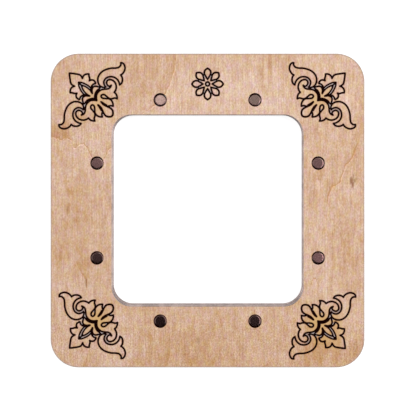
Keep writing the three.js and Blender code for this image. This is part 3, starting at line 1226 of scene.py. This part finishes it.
def nickel_plate(scene):
    """Plated discs, a soft mirror with fine pits and a dull bloom, with painted shade on the rim.
    """
    colours = scene.finishes
    plate = Surface("Nickel Plate")
    pits = plate.noise("pits")
    x, y, z = plate.normal()
    # Painted shade darkens the rim, most to the north and south, and painted highlights lighten
    # its east side and where it faces south
    east_highlight, south = x.ramp("east_highlight"), y.ramp("facing south")
    bare = plate.varied(1.0, pits=0.16, bloom=0.12, specks=0.80)
    colour = plate.shaded(colours.nickel, bare)
    colour = plate.shaded(colour, east_highlight * EAST_HIGHLIGHT_GAIN + 1.0)
    colour = plate.shaded(colour, south * SOUTH_LIGHTER + 1.0)
    lean = 1.0 - abs(z) - east_highlight * EAST_LESS_SHADE - south * SOUTH_LESS_SHADE
    shade_share = abs(y).ramp("rim shade north and south", low=x.ramp("rim shade on sides"))
    rim_shade = lean.ramp("leaning") * shade_share
    rim_shade_colour = plate.mixed(colours.scorched_and_shade, colours.rim_shade_colour, abs(y).ramp("black rim shade"))
    colour = plate.mixed(colour, rim_shade_colour, rim_shade)
    rough = plate.varied(0.21, pits=0.06) + rim_shade * RIM_SHADE_ROUGHNESS
    metal = 1.0 - rim_shade
    return plate.finish(colour, rough, specular=0.0, bump=pits, height=0.012, Metallic=metal)


def material(scene, name):
    """The material of that name, made the first time that it is asked for."""
    colours = scene.finishes
    if name in bpy.data.materials:
        return bpy.data.materials[name]
    if name.endswith("Face"):
        return birch_face(scene, name)
    if name == "Birch Edge":
        return cut_edge(name, colours.singed_and_lit, grain_turns=False)
    if name == "Birch Core Edge":
        return cut_edge(name, colours.singed_core_and_lit, grain_turns=True)
    return burnt_hole(scene) if name == "Burnt Hole" else nickel_plate(scene)


# Pieces


def make_veneer(scene, node, engraving=None):
    """The sheet that stands for one CAD veneer."""
    plywood, magnets = scene.plywood, scene.magnets
    low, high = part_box(node)
    side, layer, _ = node.split("_")
    inputs = {
        "Outer Side": OUTER_SIDE,
        "Outer Corner Radius": plywood.outer_corner_radius,
        "Opening Side": plywood.opening_side,
        "Opening Corner Radius": plywood.opening_corner_radius,
        "Corner Steps": plywood.corner_steps,
        "Hole Diameter": magnets.diameter + 2 * magnets.hole_clearance,
        "Hole Distance": plywood.opening_side / 2 + magnets.to_opening,
        "Hole Spacing": magnets.spacing,
        "Hole Sharpness": magnets.hole_sharpness,
        "Base": low.z,
        "Thickness": high.z - low.z,
        "Upper Arris": plywood.arris if layer == "face" else 0.0,
        "Lower Arris": plywood.arris if layer == "back" else 0.0,
        "Engraving": engraving,
        "Face": material(scene, "Engraved Birch Face" if engraving else "Birch Face"),
        "Edge": material(scene, "Birch Core Edge" if layer == "core" else "Birch Edge"),
        "Hole Wall": material(scene, "Burnt Hole"),
    }
    piece = bake(node.replace("_veneer", "_birch"), tree_once("Veneer", veneer_tree), inputs)
    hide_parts(node)
    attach(piece, side + "_frame")
    return piece


class EMBROIDERY_OT_plain_veneers(bpy.types.Operator):
    """Build the five veneers that bear no engraving"""

    bl_idname = "embroidery.plain_veneers"
    bl_label = "Plain Veneers"

    def execute(self, context):
        for side in SIDES:
            for layer in ("back", "core", "face"):
                if (side, layer) != ("upper", "face"):
                    make_veneer(context.scene, f"{side}_{layer}_veneer")
        return {"FINISHED"}


class EMBROIDERY_OT_engraved_veneer(bpy.types.Operator):
    """Build the top veneer, with its ornament cut in"""

    bl_idname = "embroidery.engraved_veneer"
    bl_label = "Engraved Veneer"

    def execute(self, context):
        lines = engraving_object(context.scene.engraving)
        piece = make_veneer(context.scene, "upper_face_veneer", lines)
        bpy.data.objects.remove(lines)
        return {"FINISHED"}


class EMBROIDERY_OT_magnets(bpy.types.Operator):
    """Build the eight disc magnets of each ring"""

    bl_idname = "embroidery.magnets"
    bl_label = "Magnets"


    def execute(self, context):
        scene = context.scene
        magnets, plywood = scene.magnets, scene.plywood
        for seed, side in enumerate(SIDES, start=FIRST_SEED):
            nodes = [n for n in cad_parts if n.startswith(side + "_magnet_")]
            low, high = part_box(nodes[0])
            inputs = {
                "Diameter": magnets.diameter,
                "Thickness": high.z - low.z,
                "Rounding": magnets.rounding,
                "Distance": plywood.opening_side / 2 + magnets.to_opening,
                "Spacing": magnets.spacing,
                "Base": low.z,
                "Tilt": magnets.tilt,
                "Seed": seed,
                "Plating": material(scene, "Nickel Plate"),
            }
            piece = bake(side + "_magnets", tree_once("Magnets", magnets_tree), inputs)
            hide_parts(*nodes)
            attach(piece, side + "_frame")
        return {"FINISHED"}


# Stage

IMAGE_SIDE = 416
# Pixels from the image's left and top edge to the middle of the frame, and across the frame
FRAME_MIDDLE = (207.57, 210.5)
FRAME_PIXELS = 313.95
CAMERA_HEIGHT = 0.39
CAMERA_PLACE = (0.005, 0.038)
CLIP_START = 0.01
SENSOR = 36.0
# Each lamp's place, side and power
LAMPS = {
    "window": ((0.80, 0.40, 1.05), 0.7, 11.0),
    "reflector": ((-0.85, 0.15, 0.9), 0.9, 4.8),
}
FILL = 0.40
WHITE = (1.0, 1.0, 1.0, 1.0)
FLOOR_GAP = 0.3 * MM
FLOOR_HALF = 3.0
FLOOR_GREY = (0.8, 0.8, 0.8, 1.0)
# Eyes see a whiter table, just bright enough to be pure white beside the object
SEEN_GREY = (0.45, 0.45, 0.45, 1.0)
SEEN_GLOW = 0.79
CARD_HALF = 1.2
# Tints of the painted reflections, pinker to the south
CARD_TINTS = ((1.0, 0.65, 0.71), (1.0, 0.87, 0.80))
CARD_HIDDEN_FROM = ("camera", "diffuse", "transmission", "volume_scatter", "shadow")
# Painted reflections: bright places on the dim card that the magnets reflect, in millimetres:
# middle, half sizes, and how bright
CARD_GLOWS = (
    ((-66.0, 104.0), (90.0, 90.0), 1.22),
    ((138.0, -98.0), (80.0, 80.0), 0.44),
    ((56.0, -180.0), (50.0, 50.0), 0.012),
    ((680.0, -80.0), (520.0, 900.0), 4.0),
)


def add_camera():
    """Looks straight down from a place north of the frame's middle."""
    per_pixel = OUTER_SIDE / FRAME_PIXELS
    width = per_pixel * IMAGE_SIDE
    view_x = (IMAGE_SIDE / 2 - FRAME_MIDDLE[0]) * per_pixel
    view_y = (FRAME_MIDDLE[1] - IMAGE_SIDE / 2) * per_pixel
    lens = bpy.data.cameras.new("camera")
    lens.sensor_width = SENSOR
    lens.lens = SENSOR * CAMERA_HEIGHT / width
    lens.shift_x = (view_x - CAMERA_PLACE[0]) / width
    lens.shift_y = (view_y - CAMERA_PLACE[1]) / width
    lens.clip_start = CLIP_START
    camera = linked("camera", lens)
    camera.location = (*CAMERA_PLACE, TOP + CAMERA_HEIGHT)
    bpy.context.scene.camera = camera


def add_lamp(name, place, size, power):
    """A square soft lamp aimed at the middle of the frame."""
    light = bpy.data.lights.new(name, "AREA")
    light.shape = "SQUARE"
    light.size = size
    light.energy = power
    lamp = linked(name, light)
    lamp.location = place
    lamp.rotation_mode = "QUATERNION"
    lamp.rotation_quaternion = lamp.location.to_track_quat("Z", "Y")
    lamp.visible_glossy = False


def white_where_seen(nodes, plain, seen_as):
    """One shader for the lamps' light, and another for eyes, mirrors and glass."""
    rays = ("Is Camera Ray", "Is Glossy Ray", "Is Transmission Ray")
    camera, glossy, through = nodes.add("ShaderNodeLightPath", give=rays)
    looked = camera.at_least(glossy).at_least(through)
    return nodes.add("ShaderNodeMixShader", {0: looked, 1: plain, 2: seen_as})


def add_world():
    """An even white room, which lights the object with a share of what it shows."""
    world = bpy.data.worlds.new("studio")
    world.use_nodes = True
    bpy.context.scene.world = world
    nodes = Nodes(world.node_tree)
    world.node_tree.nodes.clear()
    plain, white = (
        nodes.add("ShaderNodeBackground", {"Color": WHITE, "Strength": strength})
        for strength in (FILL, 1.0)
    )
    nodes.add("ShaderNodeOutputWorld", {"Surface": white_where_seen(nodes, plain, white)})


def flat_square(name, half, height, face, paper, shader):
    """A square sheet above or below the frame's middle, with that material's shader."""
    mesh = bpy.data.meshes.new(name)
    corners = ((-half, -half), (half, -half), (half, half), (-half, half))
    mesh.from_pydata([(x, y, height) for x, y in corners], [], [face])
    paper.add("ShaderNodeOutputMaterial", {"Surface": shader})
    mesh.materials.append(paper.material)
    return linked(name, mesh)


def add_floor():
    """A white table that keeps the object's shadow."""
    paper = Surface("White Table")
    plain = paper.add("ShaderNodeBsdfDiffuse", {"Color": FLOOR_GREY})
    faint = paper.add("ShaderNodeBsdfDiffuse", {"Color": SEEN_GREY})
    glow = paper.add("ShaderNodeEmission", {"Color": WHITE, "Strength": SEEN_GLOW})
    lit = paper.add("ShaderNodeAddShader", {0: faint, 1: glow})
    shader = white_where_seen(paper, plain, lit)
    height = CAD_LOW.z - FLOOR_GAP
    top = flat_square("table_top", FLOOR_HALF, height, (0, 1, 2, 3), paper, shader)


def add_reflection_card():
    """A dim card over the table that only the metal and the wood's sheen reflect, a painted
    reflection.

    It is brightest to the north-west, with glows where the magnets reflect it.
    """
    paper = Surface("Dim Card")
    _, y, _ = paper.place.parts()
    glow = y.ramp("card northward")
    for middle, half_sizes, strength in CARD_GLOWS:
        glow = glow + paper.oval_distance(middle, half_sizes).ramp("card glow", low=strength)
    tone = paper.mixed(*CARD_TINTS, y.ramp("card tint"))
    shader = paper.add("ShaderNodeEmission", {"Color": tone, "Strength": glow})
    height = TOP + CAMERA_HEIGHT
    card = flat_square("dim_card", CARD_HALF, height, (0, 3, 2, 1), paper, shader)
    for ray in CARD_HIDDEN_FROM:
        setattr(card, "visible_" + ray, False)


class EMBROIDERY_OT_stage(bpy.types.Operator):
    """Set up the table, the lamps, the room's light and the camera"""

    bl_idname = "embroidery.stage"
    bl_label = "Stage"

    def execute(self, context):
        context.scene.view_settings.view_transform = "Standard"
        add_camera()
        add_world()
        for name, (place, size, power) in LAMPS.items():
            add_lamp(name, place, size, power)
        add_floor()
        add_reflection_card()
        return {"FINISHED"}


class EMBROIDERY_PT_frame(bpy.types.Panel):
    """Sizes, colours and pieces of the embroidery frame"""

    bl_label = "Embroidery Frame"
    bl_space_type = "VIEW_3D"
    bl_region_type = "UI"
    bl_category = "Embroidery"

    def draw(self, context):
        scene = context.scene
        for settings in (scene.plywood, scene.magnets, scene.engraving, scene.finishes):
            column = self.layout.column(align=True)
            for name in type(settings).__annotations__:
                column.prop(settings, name)
        for operator in OPERATORS:
            self.layout.operator(operator.bl_idname)


SETTINGS = {
    "plywood": PlywoodSizes, "magnets": MagnetSizes, "engraving": EngravingSizes,
    "finishes": Finishes,
}
OPERATORS = (
    EMBROIDERY_OT_stage,
    EMBROIDERY_OT_plain_veneers,
    EMBROIDERY_OT_engraved_veneer,
    EMBROIDERY_OT_magnets,
)
CLASSES = (*SETTINGS.values(), *OPERATORS, EMBROIDERY_PT_frame)


def register():
    for cls in CLASSES:
        bpy.utils.register_class(cls)
    for name, cls in SETTINGS.items():
        setattr(bpy.types.Scene, name, PointerProperty(type=cls))


def unregister():
    for name in SETTINGS:
        delattr(bpy.types.Scene, name)
    for cls in reversed(CLASSES):
        bpy.utils.unregister_class(cls)


def main():
    register()
    for name in ("stage", "plain_veneers", "engraved_veneer", "magnets"):
        getattr(bpy.ops.embroidery, name)()


if __name__ == "__main__":
    main()
